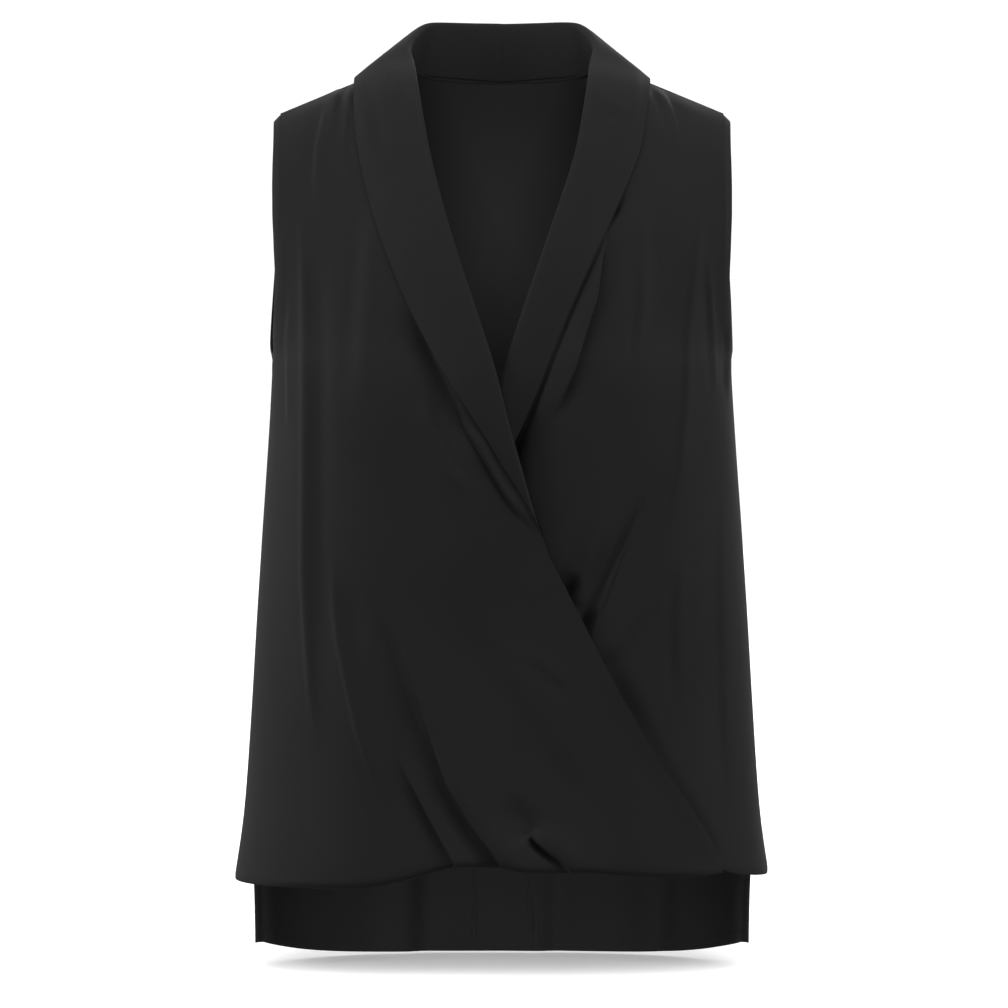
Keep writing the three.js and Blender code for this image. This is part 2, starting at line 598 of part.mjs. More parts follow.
// One half of the collar. Each section rises from the seam, turns over at the roll and falls to the
// edge. The sections are worked out on the face that the fold encloses.
function makeCollar(front, back, guideRows) {
  const middle = BACK_SHOULDER_COLUMNS + BACK_NECK_COLUMNS / 2;
  const end = front.sign > 0 ? BACK_SHOULDER_COLUMNS : BACK_SHOULDER_COLUMNS + BACK_NECK_COLUMNS;
  const backPlaces = [];
  for (let j = middle; j !== end; j += Math.sign(end - middle)) backPlaces.push([0, j]);
  backPlaces.push([0, end]);
  const lastColumn = front.face[0].length - 1;
  const frontPlaces = front.face
    .map((row, i) => [i, lastColumn])
    .filter(([i]) => front.face[i][lastColumn].z > COLLAR_END);
  const stations = joinStations(stationsOf(back, backPlaces), stationsOf(front, frontPlaces));
  stations[0].point.x = front.sign * SEAM_GAP / 2;

  const rows = [...COLLAR_NECK, ...guideRows];
  const rollRows = rollGuides(front, guideRows);
  let length = 0;
  const lengths = stations.map(({ point }, i) => {
    if (i > 0) length += point.distanceTo(stations[i - 1].point);
    return length;
  });
  const scale = rows.at(-1).along / length;
  const guideAt = (i) => {
    const along = lengths[i] * scale;
    const [x, y, z] = ['rollX', 'rollY', 'rollZ'].map((column) => read(rollRows, 'along', along, column));
    const edgeX = read(rows, 'along', along, 'edgeX');
    const edgeZ = read(rows, 'along', along, 'edgeZ');
    const offShoulder = (along - SHOULDER_ROUND.along) / SHOULDER_ROUND.wide;
    const proud = EDGE_PROUD + SHOULDER_ROUND.extra * Math.exp(-(offShoulder ** 2));
    const edge = along < SHOULDER_ALONG
      ? onShoulders(BACK, edgeX, edgeZ, proud)
      : onFront(front, edgeX, edgeZ, proud);
    if (along < SHOULDER_ALONG) edge.x *= front.sign;
    return { bend: read(rows, 'along', along, 'bend'), roll: new THREE.Vector3(front.sign * x, y, z), edge };
  };
  const rolls = stations.map((station, i) => guideAt(i).roll);
  const face = stations.map((station, i) => {
    const { bend, roll, edge } = guideAt(i);
    if (i === 0) roll.x = edge.x = front.sign * SEAM_GAP / 2;
    const run = rolls[Math.min(i + 1, rolls.length - 1)].clone().sub(rolls[Math.max(i - 1, 0)]).normalize();
    if (i === 0) run.set(front.sign, 0, 0);
    const off = station.run.clone().cross(station.normal).multiplyScalar(front.sign).normalize();
    const start = station.point.clone().addScaledVector(off, NECK_SEAM_GAP);
    const over = roll.clone().sub(station.point.clone().add(edge).multiplyScalar(0.5));
    over.addScaledVector(run, -over.dot(run)).normalize();
    const out = run.clone().cross(over).multiplyScalar(-front.sign).normalize();
    const centre = roll.clone().addScaledVector(over, -(bend + COLLAR_CLOTH));
    const onRoll = (turn) => centre.clone()
      .addScaledVector(over, bend * Math.cos(turn))
      .addScaledVector(out, bend * Math.sin(turn));
    const turns = ROLL_TURNS.map(onRoll);
    const stand = start.clone().lerp(turns[0], 0.5);
    const fallLength = turns.at(-1).distanceTo(edge);
    const fall = FALL_SHARES.map((share) => turns.at(-1).clone().lerp(edge, share)
      .addScaledVector(out, FALL_BELLY * fallLength * Math.sin(Math.PI * share)));
    return [start, stand, ...turns, ...fall, edge];
  });
  const normals = normalsOf(face, -front.sign);
  stations.forEach((station, i) => normals[i][0].copy(station.normal).negate());
  normals[0].forEach((normal) => {
    normal.x = 0;
    normal.normalize();
  });
  return closedWall(face, moved(face, normals, COLLAR_CLOTH));
}

// The band that finishes an armhole, a ring that goes on from the panels' edges into the opening
function makeArmholeBand(front, back) {
  const backColumn = front.sign > 0 ? 0 : back.face[0].length - 1;
  const upperRows = UPPER_ROWS.map((share, i) => i);
  const down = stationsOf(front, upperRows.map((i) => [i, 0]));
  const up = stationsOf(back, upperRows.map((i) => [i, backColumn]).reverse());
  const loop = joinStations(down, up);
  const closing = joinStations([loop.at(-1)], [loop[0]])[0];
  const stations = [closing, ...loop.slice(1, -1)];
  const count = stations.length;
  const face = stations.map(({ point, normal }, i) => {
    const run = stations[(i + 1) % count].point.clone().sub(stations[(i + count - 1) % count].point);
    const into = run.cross(normal).multiplyScalar(-front.sign).normalize();
    return [
      point.clone().addScaledVector(into, SEAM_GAP),
      point.clone().addScaledVector(into, SEAM_GAP + BAND_WIDTH),
    ];
  });
  const normals = stations.map(({ normal }) => [normal, normal]);
  return closedWall(face, moved(face, normals, -CLOTH), true);
}

const CREPE = { color: 0x29292b, roughness: 0.72, metalness: 0 };

function piece(name, geometry) {
  const mesh = new THREE.Mesh(geometry, new THREE.MeshStandardMaterial(CREPE));
  mesh.name = name;
  return mesh;
}

const evenColumns = (steps) => columnShares([{ from: 0, to: 1, steps }]);
const rightFront = makeFront({
  name: 'right_front',
  sign: -1,
  hem: HEM_OF_RIGHT_FRONT,
  lowerRows: RIGHT_FRONT_LOWER_ROWS,
  columns: columnShares(RIGHT_FRONT_COLUMN_RUNS),
});
const leftFront = makeFront({
  name: 'left_front',
  sign: 1,
  hem: HEM_OF_LEFT_FRONT,
  lowerRows: LEFT_FRONT_LOWER_ROWS,
  columns: evenColumns(LEFT_FRONT_COLUMNS),
});
const back = makeBack();

const group = new THREE.Group();
group.add(
  piece('right_front', closedWall(rightFront.face, rightFront.reverse)),
  piece('left_front', closedWall(leftFront.face, leftFront.reverse)),
  piece('back', closedWall(back.face, back.reverse)),
  piece('collar_right', makeCollar(rightFront, back, COLLAR_ON_RIGHT)),
  piece('collar_left', makeCollar(leftFront, back, COLLAR_ON_LEFT)),
  piece('armhole_band_right', makeArmholeBand(rightFront, back)),
  piece('armhole_band_left', makeArmholeBand(leftFront, back)),
);

export default group;
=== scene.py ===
import math

import bmesh
import bpy
import numpy as np
from mathutils import Matrix, Vector, noise
from mathutils.bvhtree import BVHTree


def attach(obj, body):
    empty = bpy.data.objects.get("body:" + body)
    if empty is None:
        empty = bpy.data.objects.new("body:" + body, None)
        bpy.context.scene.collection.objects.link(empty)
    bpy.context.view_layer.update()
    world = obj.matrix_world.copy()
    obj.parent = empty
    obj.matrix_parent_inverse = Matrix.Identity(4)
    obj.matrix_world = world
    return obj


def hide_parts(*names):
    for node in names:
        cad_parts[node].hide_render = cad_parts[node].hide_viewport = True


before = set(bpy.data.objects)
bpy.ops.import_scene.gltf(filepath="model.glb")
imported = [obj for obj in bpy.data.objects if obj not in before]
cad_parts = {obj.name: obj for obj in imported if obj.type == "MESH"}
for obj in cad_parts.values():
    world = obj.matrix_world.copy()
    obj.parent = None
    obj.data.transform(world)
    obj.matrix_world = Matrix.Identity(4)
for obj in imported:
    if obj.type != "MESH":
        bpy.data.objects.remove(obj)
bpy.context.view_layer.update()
MM = 0.001

# The camera stands level in front of the top, at the height of its middle, as the photograph was taken.
# Its lens shows a width of about 0.8 m at the depth of the side seams.
VIEW_DISTANCE = 3.2
PICTURE_WIDTH = 806.4 * MM
PICTURE_MIDDLE_X = 1.6 * MM
PICTURE_MIDDLE_Z = -350.4 * MM

view = bpy.data.cameras.new("view")
view.sensor_width = 36
view.lens = view.sensor_width * VIEW_DISTANCE / PICTURE_WIDTH
camera = bpy.data.objects.new("camera", view)
camera.location = (PICTURE_MIDDLE_X, -VIEW_DISTANCE, PICTURE_MIDDLE_Z)
camera.rotation_euler = (math.pi / 2, 0, 0)
bpy.context.scene.collection.objects.link(camera)
bpy.context.scene.camera = camera

# The crepe is a light polyester crepe de chine: a fine pebbled face from its hard-twisted yarns, nearly
# matt, with a faint bloom where it turns away. All pieces are cut from it.
PEBBLES_PER_METRE = 2100
YARNS_PER_METRE = (1500, 1500, 260)
YARN_RELIEF = 0.45
CLOUDS_PER_METRE = 9
CLOUD_SHADES = (0.9, 1.1)
CREPE_TONE = (0.0140, 0.0140, 0.0150)
CREPE_ROUGHNESS = (0.62, 0.78)
CREPE_RELIEF = 0.05 * MM


def crepe_face():
    """The changes of the crepe's tone, roughness and height over its face, from its pebbles and yarns."""
    group = bpy.data.node_groups.new("crepe_face", "ShaderNodeTree")
    group.interface.new_socket("Tone", in_out="INPUT", socket_type="NodeSocketColor")
    pebble_size = group.interface.new_socket("Pebbles", in_out="INPUT", socket_type="NodeSocketFloat")
    pebble_size.default_value = PEBBLES_PER_METRE
    group.interface.new_socket("Color", in_out="OUTPUT", socket_type="NodeSocketColor")
    group.interface.new_socket("Roughness", in_out="OUTPUT", socket_type="NodeSocketFloat")
    group.interface.new_socket("Height", in_out="OUTPUT", socket_type="NodeSocketFloat")
    add, join = group.nodes.new, group.links.new
    given, put_out = add("NodeGroupInput"), add("NodeGroupOutput")
    place = add("ShaderNodeTexCoord")

    pebbles = add("ShaderNodeTexNoise")
    pebbles.inputs["Detail"].default_value = 1
    join(place.outputs["Object"], pebbles.inputs["Vector"])
    join(given.outputs["Pebbles"], pebbles.inputs["Scale"])

    stretched = add("ShaderNodeMapping")
    stretched.inputs["Scale"].default_value = YARNS_PER_METRE
    join(place.outputs["Object"], stretched.inputs["Vector"])
    yarns = add("ShaderNodeTexNoise")
    yarns.inputs["Scale"].default_value = 1
    yarns.inputs["Detail"].default_value = 0
    join(stretched.outputs["Vector"], yarns.inputs["Vector"])

    relief = add("ShaderNodeMath")
    relief.operation = "MULTIPLY_ADD"
    relief.inputs[1].default_value = YARN_RELIEF
    join(yarns.outputs["Fac"], relief.inputs[0])
    join(pebbles.outputs["Fac"], relief.inputs[2])
    join(relief.outputs["Value"], put_out.inputs["Height"])

    clouds = add("ShaderNodeTexNoise")
    clouds.inputs["Scale"].default_value = CLOUDS_PER_METRE
    clouds.inputs["Detail"].default_value = 3
    join(place.outputs["Object"], clouds.inputs["Vector"])
    shade = add("ShaderNodeMapRange")
    shade.inputs["From Min"].default_value = 0.3
    shade.inputs["From Max"].default_value = 0.7
    shade.inputs["To Min"].default_value, shade.inputs["To Max"].default_value = CLOUD_SHADES
    join(clouds.outputs["Fac"], shade.inputs["Value"])
    toned = add("ShaderNodeVectorMath")
    toned.operation = "SCALE"
    join(given.outputs["Tone"], toned.inputs[0])
    join(shade.outputs["Result"], toned.inputs["Scale"])
    join(toned.outputs["Vector"], put_out.inputs["Color"])

    gloss = add("ShaderNodeMapRange")
    gloss.inputs["To Min"].default_value, gloss.inputs["To Max"].default_value = CREPE_ROUGHNESS
    join(pebbles.outputs["Fac"], gloss.inputs["Value"])
    join(gloss.outputs["Result"], put_out.inputs["Roughness"])
    return group


def make_crepe():
    material = bpy.data.materials.new("crepe")
    material.use_nodes = True
    nodes, join = material.node_tree.nodes, material.node_tree.links.new
    cloth = nodes["Principled BSDF"]
    cloth.inputs["Specular IOR Level"].default_value = 0.26
    cloth.inputs["Sheen Weight"].default_value = 0.06
    cloth.inputs["Sheen Roughness"].default_value = 0.45
    face = nodes.new("ShaderNodeGroup")
    face.node_tree = crepe_face()
    face.inputs["Tone"].default_value = (*CREPE_TONE, 1)
    face.inputs["Pebbles"].default_value = PEBBLES_PER_METRE
    bump = nodes.new("ShaderNodeBump")
    bump.inputs["Distance"].default_value = CREPE_RELIEF
    join(face.outputs["Color"], cloth.inputs["Base Color"])
    join(face.outputs["Roughness"], cloth.inputs["Roughness"])
    join(face.outputs["Height"], bump.inputs["Height"])
    join(bump.outputs["Normal"], cloth.inputs["Normal"])
    return material


CREPE = make_crepe()

# The right front is one panel of that crepe, from the shoulder seam to a soft rolled hem. It laps over
# the left front, its inner edge runs down to the far side, and three pleats are caught in its hem.
WALL_EDGE = math.radians(62)
WELD_DISTANCE = 0.02 * MM
CLOTH_THICKNESS = 0.9 * MM
SHADE_ANGLE = math.radians(50)


def only(piece):
    """Selects one piece alone and makes it the active one."""
    bpy.ops.object.select_all(action="DESELECT")
    piece.select_set(True)
    bpy.context.view_layer.objects.active = piece


def finish_with(piece, kind, **settings):
    """Gives a piece a modifier with its settings and applies it."""
    modifier = piece.modifiers.new(kind, kind)
    for setting, value in settings.items():
        setattr(modifier, setting, value)
    only(piece)
    bpy.ops.object.modifier_apply(modifier=modifier.name)


def one_side(node, name, towards):
    """A smooth sheet from the side of a node's cloth wall that lies furthest towards a direction."""
    welded = bmesh.new()
    welded.from_mesh(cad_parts[node].data)
    bmesh.ops.remove_doubles(welded, verts=welded.verts, dist=WELD_DISTANCE)
    start = max(welded.faces, key=lambda face: face.calc_center_median().dot(Vector(towards)))
    side, waiting = {start}, [start]
    while waiting:
        for edge in waiting.pop().edges:
            if edge.calc_face_angle(math.pi) < WALL_EDGE:
                found = [face for face in edge.link_faces if face not in side]
                side.update(found)
                waiting.extend(found)
    others = [face for face in welded.faces if face not in side]
    bmesh.ops.delete(welded, geom=others, context="FACES")
    bmesh.ops.join_triangles(
        welded, faces=welded.faces, angle_face_threshold=math.pi, angle_shape_threshold=math.pi,
        topology_influence=2
    )
    mesh = bpy.data.meshes.new(name)
    welded.to_mesh(mesh)
    welded.free()
    sheet = bpy.data.objects.new(name, mesh)
    bpy.context.scene.collection.objects.link(sheet)
    finish_with(sheet, "SUBSURF", levels=2, render_levels=2, boundary_smooth="PRESERVE_CORNERS")
    return sheet


def places_of(mesh):
    places = np.zeros(len(mesh.vertices) * 3)
    mesh.vertices.foreach_get("co", places)
    return places.reshape(-1, 3)


def normals_of(mesh):
    normals = np.zeros(len(mesh.vertices) * 3)
    mesh.vertices.foreach_get("normal", normals)
    return normals.reshape(-1, 3)


def smooth(low, high, value):
    """Rises smoothly from 0 at the value low to 1 at the value high, which may be the smaller one."""
    share = np.clip((value - low) / (high - low), 0, 1)
    return share * share * (3 - 2 * share)


SOFT_STEP = 2.5
SHARP_STEP = 1.7
SHARP_REACHES = (7.5, 3.6)


def crease(x, z, path, right, left, step=SOFT_STEP, rise=0.3, fall=0.3, lap=0):
    """How far a crease moves points out and to the right, in mm. The path is seen from the front, and right
    and left are the height and width on each side of it as it runs down. Rise and fall are the shares at
    its ends over which it comes and goes. Lap is how far the right side hangs over the left one."""
    path = np.array(path, float)
    runs = path[1:] - path[:-1]
    lengths = np.hypot(*runs.T)
    before = np.concatenate([[0], np.cumsum(lengths)])
    nearest = np.full(len(x), np.inf)
    signed = np.zeros(len(x))
    along = np.zeros(len(x))
    for start, run, length, so_far in zip(path, runs, lengths, before):
        offset_x, offset_z = x - start[0], z - start[1]
        share = np.clip((offset_x * run[0] + offset_z * run[1]) / length**2, 0, 1)
        distance = np.hypot(offset_x - share * run[0], offset_z - share * run[1])
        closer = distance < nearest
        nearest = np.where(closer, distance, nearest)
        side = np.sign(run[0] * offset_z - run[1] * offset_x)
        signed = np.where(closer, distance * side, signed)
        along = np.where(closer, (so_far + share * length) / before[-1], along)
    on_right = right[0] * np.exp(-((signed / right[1]) ** 2))
    on_left = left[0] * np.exp(-((signed / left[1]) ** 2))
    over = smooth(-step, step, signed)
    grow = smooth(0, rise, along) if rise else 1
    grow = grow * (smooth(0, fall, 1 - along) if fall else 1)
    out = grow * (on_left * (1 - over) + on_right * over)
    reach = right[1] if lap > 0 else left[1]
    hanging = over if lap > 0 else 1 - over
    return out, -lap * grow * hanging * np.exp(-((signed / reach) ** 2))


SEED_STEPS = (17.3, 5.1, 9.7)


def unrest(places, seed, height, across, down):
    """The small unevenness of hanging cloth, in mm, with its size across and down in mm."""
    offset = Vector([seed * step for step in SEED_STEPS])
    scale = Vector((1 / across, 1 / across, 1 / down))
    return np.array([height * noise.noise(Vector(place) / MM * scale + offset) for place in places])


FORM_HALF_WIDTH = 200
FORM_HALF_DEPTH = 120
FORM_POWER = 1.3
TURNS_LEVEL = (-180 * MM, -260 * MM)


def outwards(places, normals):
    """The way in which creases move the cloth: off its face, and level off the form below the armholes."""
    x, y = places[:, 0] / (FORM_HALF_WIDTH * MM), places[:, 1] / (FORM_HALF_DEPTH * MM)
    level_x = np.sign(x) * np.abs(x) ** FORM_POWER / FORM_HALF_WIDTH
    level_y = np.sign(y) * np.abs(y) ** FORM_POWER / FORM_HALF_DEPTH
    level = np.stack([level_x, level_y, 0 * x], 1)
    level /= np.linalg.norm(level, axis=1)[:, None] + 1e-9
    low = smooth(*TURNS_LEVEL, places[:, 2])[:, None]
    way = normals * (1 - low) + level * low
    return way / np.linalg.norm(way, axis=1)[:, None]


def refine_along(sheet, creases):
    """Halves the faces beside the creases that step sharply, and once more the nearest of them."""
    for reach in SHARP_REACHES:
        fine = bmesh.new()
        fine.from_mesh(sheet.data)
        centres = np.array([face.calc_center_median() for face in fine.faces]) / MM
        near = np.zeros(len(centres), bool)
        for fold in creases:
            if fold.get("step", SOFT_STEP) < SHARP_STEP:
                within = dict(path=fold["path"], right=(1, reach), left=(1, reach), rise=0, fall=0)
                near |= crease(centres[:, 0], centres[:, 2], **within)[0] > math.exp(-1)
        edges = {edge for face, wanted in zip(fine.faces, near) if wanted for edge in face.edges}
        bmesh.ops.subdivide_edges(fine, edges=list(edges), cuts=1, use_grid_fill=True)
        fine.to_mesh(sheet.data)
        fine.free()


UNDERARM_REACH = 3.9 * MM
UNDERARM_HEIGHTS = (-264 * MM, -230 * MM)


def close_underarm(mesh):
    """Brings a sheet's edge to the side seam just below the armhole, where its corner is rounded off."""
    sheet = bmesh.new()
    sheet.from_mesh(mesh)
    for point in sheet.verts:
        below = UNDERARM_HEIGHTS[0] < point.co.z < UNDERARM_HEIGHTS[1]
        if point.is_boundary and below and abs(point.co.y) < UNDERARM_REACH:
            point.co.y = 0
    sheet.to_mesh(mesh)
    sheet.free()


def edge_of(mesh):
    """The points on a sheet's edge with their normals, in mm."""
    sheet = bmesh.new()
    sheet.from_mesh(mesh)
    points = [(*(point.co / MM), *point.normal) for point in sheet.verts if point.is_boundary]
    sheet.free()
    return np.array(points)


def thicken(sheet, thickness):
    """Gives a sheet its thickness, inwards, and its crepe."""
    finish_with(sheet, "SOLIDIFY", thickness=thickness, offset=-1, use_even_offset=True)
    only(sheet)
    bpy.ops.object.shade_smooth_by_angle(angle=SHADE_ANGLE)
    sheet.data.materials.clear()
    sheet.data.materials.append(CREPE)


UNREST_HEIGHT = 1.2
UNREST_SIZE = (55, 150)
SEAM_CALM = 14
SEAM_REACH = 0.3 * MM


def dress(sheet, creases, seed, more):
    """Moves a sheet by its creases and by what more gives, calm at the side seams, and thickens it. Returns
    the edge that it had before."""
    refine_along(sheet, creases)
    places, normals = places_of(sheet.data), normals_of(sheet.data)
    x, z = places[:, 0] / MM, places[:, 2] / MM
    height = unrest(places, seed, UNREST_HEIGHT, *UNREST_SIZE)
    sideways = np.zeros(len(x))
    for fold in creases:
        out, right = crease(x, z, **fold)
        height += out
        sideways += right
    height += more(places)
    calm = smooth(0, SEAM_CALM, np.abs(places[:, 1]) / MM)
    places += outwards(places, normals) * (height * calm * MM)[:, None]
    places[:, 0] += sideways * calm * MM
    places[np.abs(places[:, 1]) < SEAM_REACH, 1] = 0
    sheet.data.vertices.foreach_set("co", places.ravel())
    close_underarm(sheet.data)
    sheet.data.update()
    edge = edge_of(sheet.data)
    thicken(sheet, CLOTH_THICKNESS)
    return edge


RIGHT_FRONT_CREASES = [
    # Short folds hang from the shoulder seam.
    dict(path=[(-127, -14), (-131, -36), (-134, -75)], right=(-1.4, 4), left=(1.0, 6), rise=0.2, fall=0.7),
    dict(path=[(-118, -18), (-121, -44), (-123, -90)], right=(-1.2, 4), left=(1.2, 5), rise=0.2, fall=0.7),
    dict(path=[(-140, -30), (-147, -70), (-149, -120)], right=(1.4, 9), left=(-1.0, 9), rise=0.2, fall=0.6),
    # Long folds run down the side, and a sharper one turns in towards the hem.
    dict(path=[(-103, -100), (-108, -150), (-112, -210), (-116, -280)],
         right=(1.2, 16), left=(-1.2, 16), step=9),
    dict(path=[(-158, -118), (-156, -190), (-155, -269), (-155, -406), (-152, -461), (-149, -506),
               (-143, -545)],
         right=(2.0, 5), left=(1.9, 3), step=1.6, rise=0.2, fall=0.2),
    dict(path=[(-144, -130), (-141, -250), (-142, -400), (-138, -500)], right=(-1.6, 7), left=(-1.6, 7)),
    dict(path=[(-168, -180), (-170, -240), (-169, -300)], right=(1.6, 5), left=(-1.0, 5)),
    dict(path=[(-133, -385), (-131, -424), (-127, -456), (-119, -493), (-112, -524), (-99, -561),
               (-86, -590)],
         right=(2.2, 5), left=(2.0, 3), step=1.6, rise=0.25, fall=0.3),
    dict(path=[(-118, -400), (-112, -470), (-100, -520), (-86, -556)], right=(-1.8, 8), left=(-1.8, 8)),
    # A valley and a narrow fold follow the collar down to its end.
    dict(path=[(-76, -190), (-68, -206), (-54, -234), (-44, -254), (-34, -275), (-22, -300), (-12, -316)],
         right=(-1.0, 3), left=(-9.0, 14), step=1.2, rise=0.35, fall=0.45),
    dict(path=[(-38, -261), (-28, -291), (-18, -308), (-5, -331), (5, -347), (16, -361), (28, -376)],
         right=(2.9, 6), left=(-2.2, 3.5), step=0.9, rise=0.35, fall=0.3, lap=0.6),
    dict(path=[(16, -337), (22, -352), (27, -363), (32, -375), (40, -392)],
         right=(0.6, 4), left=(-0.4, 5), step=0.9, lap=-3),
    dict(path=[(-60, -262), (-52, -290), (-38, -320), (-22, -345)], right=(-1.6, 9), left=(1.8, 14)),
    # Three pleats rise from the hem, with soft hollows above them.
    dict(path=[(-82, -542), (-74, -560), (-64, -577), (-51, -601), (-36, -627), (-33, -655)],
         right=(1.8, 14), left=(-4.4, 8), step=1.1, rise=0.45, fall=0, lap=1.8),
    dict(path=[(-98, -420), (-84, -450), (-72, -485), (-60, -520), (-50, -545)],
         right=(1.6, 16), left=(-3.8, 13), step=6, rise=0.5, fall=0.35),
    dict(path=[(-70, -492), (-64, -506), (-51, -542), (-41, -568), (-21, -600), (-8, -617), (3, -634),
               (6, -655)],
         right=(2.4, 18), left=(-5.8, 11), step=1.2, rise=0.4, fall=0, lap=2.2),
    dict(path=[(20, -602), (27, -611), (36, -618), (45, -624), (52, -633), (57, -655)],
         right=(1.8, 12), left=(-7.0, 5), step=1.2, rise=0.2, fall=0.75, lap=1.4),
    dict(path=[(2, -572), (12, -590), (23, -607)], right=(-4.0, 10), left=(-3.6, 15), rise=0.7, fall=0.1),
    # Faint folds cross the middle, and a low ridge runs beside the lapping edge.
    dict(path=[(16, -464), (34, -480), (54, -499)], right=(0.5, 8), left=(-0.8, 6), step=2),
    dict(path=[(-30, -420), (0, -480), (40, -540), (80, -590)], right=(0.8, 26), left=(-0.8, 26), step=8),
    dict(path=[(66, -448), (85, -487), (105, -520), (130, -563), (152, -597), (170, -630)],
         right=(1.5, 5), left=(1.5, 9), rise=0.25, fall=0.1),
]


STANDS_OUT = 4.4
STANDS_OUT_DEPTHS = (-62, -30)
STANDS_OUT_BELOW = (-130, -190)
STANDS_OUT_ABOVE = (-250, -214)


def beside_the_armhole(places):
    """The fronts stand out a little beside the lower part of the armhole."""
    y, z = places[:, 1] / MM, places[:, 2] / MM
    heights = smooth(*STANDS_OUT_BELOW, z) * smooth(*STANDS_OUT_ABOVE, z)
    return STANDS_OUT * smooth(*STANDS_OUT_DEPTHS, y) * heights


right_front = one_side("right_front", "right_front_panel", (0, -1, 0))
right_front_edge = dress(right_front, RIGHT_FRONT_CREASES, seed=1, more=beside_the_armhole)
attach(right_front, "root")
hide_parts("right_front")

# The left front lies beneath the right one and shows above the lap and at the hem's outer corner. Its
# folds are drawn down under the lapping edge.
LEFT_FRONT_CREASES = [
    # Short folds hang from the shoulder seam, and a broad one below them.
    dict(path=[(119, -14), (127, -34), (135, -62)], right=(1.0, 6), left=(-1.8, 4), rise=0.2, fall=0.7),
    dict(path=[(128, -18), (138, -44), (144, -90)], right=(-1.4, 5), left=(1.2, 5), rise=0.2, fall=0.7),
    dict(path=[(112, -110), (116, -170), (112, -230)], right=(-1.0, 13), left=(1.0, 12), step=7),
    # A narrow strip beside the collar and a fold next to it are drawn down under the lapping edge.
    dict(path=[(104, -86), (94, -112), (84, -133), (72, -158), (62, -180), (50, -208), (38, -240),
               (24, -276), (12, -306), (0, -332)],
         right=(-1.6, 2.4), left=(-1, 4), step=0.8, rise=0.35, fall=0.05),
    dict(path=[(96, -104), (88, -122), (80, -138)],
         right=(-3.2, 5), left=(-1, 4), step=1.2, rise=0.5, fall=0.5),
    dict(path=[(38, -240), (24, -276), (12, -306), (4, -330)],
         right=(-4.5, 4.5), left=(-3, 6), step=1.0, rise=0.7, fall=0),
    dict(path=[(83, -134), (78, -159), (73, -191), (64, -219), (56, -246), (46, -269), (38, -290)],
         right=(-4.4, 8), left=(1.8, 7), step=1.0, rise=0.25, fall=0.2, lap=-1.4),
    # Folds run down the side beside the armhole.
    dict(path=[(156, -116), (153, -150), (149, -186), (145, -220), (144, -270), (138, -324), (126, -378)],
         right=(2.0, 5), left=(1.8, 3), step=1.6, rise=0.2, fall=0.3),
    dict(path=[(159, -150), (163, -207), (166, -270)], right=(1.8, 3.5), left=(-1.2, 5), step=2),
    dict(path=[(172, -200), (177, -235), (178, -270)], right=(1.4, 4), left=(-1.2, 5), step=2),
    dict(path=[(108, -160), (106, -205), (100, -250)], right=(1.4, 6), left=(-1.4, 7)),
    # A double fold runs down to the lap, between two deep hollows, with a third one beside the collar's end.
    dict(path=[(114, -338), (98, -370), (84, -399), (75, -420), (66, -437), (60, -450)],
         right=(-3.2, 2.8), left=(-3.2, 3.4), step=1.2, rise=0.4, fall=0.05),
    dict(path=[(106, -364), (91, -395), (79, -428), (71, -444)],
         right=(-1.4, 2.6), left=(0.4, 3), step=1.2, rise=0.4, fall=0.2),
    dict(path=[(90, -348), (75, -385), (64, -415), (58, -432)],
         right=(2.2, 6), left=(2.2, 6), rise=0.4, fall=0.1),
    dict(path=[(72, -429), (69, -439), (64, -452), (60, -464)],
         right=(-6.5, 3.0), left=(-6.5, 6), step=1.6, rise=0.5, fall=0),
    dict(path=[(58, -402), (55, -411), (51, -423), (46, -436)],
         right=(-8.0, 4.2), left=(-8.0, 10), step=1.6, rise=0.5, fall=0),
    dict(path=[(14, -288), (8, -312), (6, -345)], right=(-7.0, 7), left=(-7.0, 9), rise=0.4, fall=0.2),
    # The cloth sinks along the lapping edge.
    dict(path=[(72, -458), (84, -482), (95, -503), (112, -530), (130, -560)],
         right=(-3.2, 8), left=(-3.2, 10), rise=0.2, fall=0.6),
    dict(path=[(84, -480), (105, -518), (131, -562), (153, -596), (171, -630)],
         right=(-2.0, 3), left=(-2.0, 7), rise=0.15, fall=0.1),
    # Broad faint folds fill the rest.
    dict(path=[(122, -420), (100, -450), (82, -480)], right=(-0.8, 12), left=(0.8, 12)),
    dict(path=[(172, -330), (170, -420), (173, -520), (178, -600)], right=(1.3, 12), left=(-1.1, 14)),
    dict(path=[(137, -390), (134, -445), (137, -510)], right=(1.1, 9), left=(-1.1, 9)),
]
left_front = one_side("left_front", "left_front_panel", (0, -1, 0))
left_front_edge = dress(left_front, LEFT_FRONT_CREASES, seed=2, more=beside_the_armhole)
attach(left_front, "root")
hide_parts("left_front")

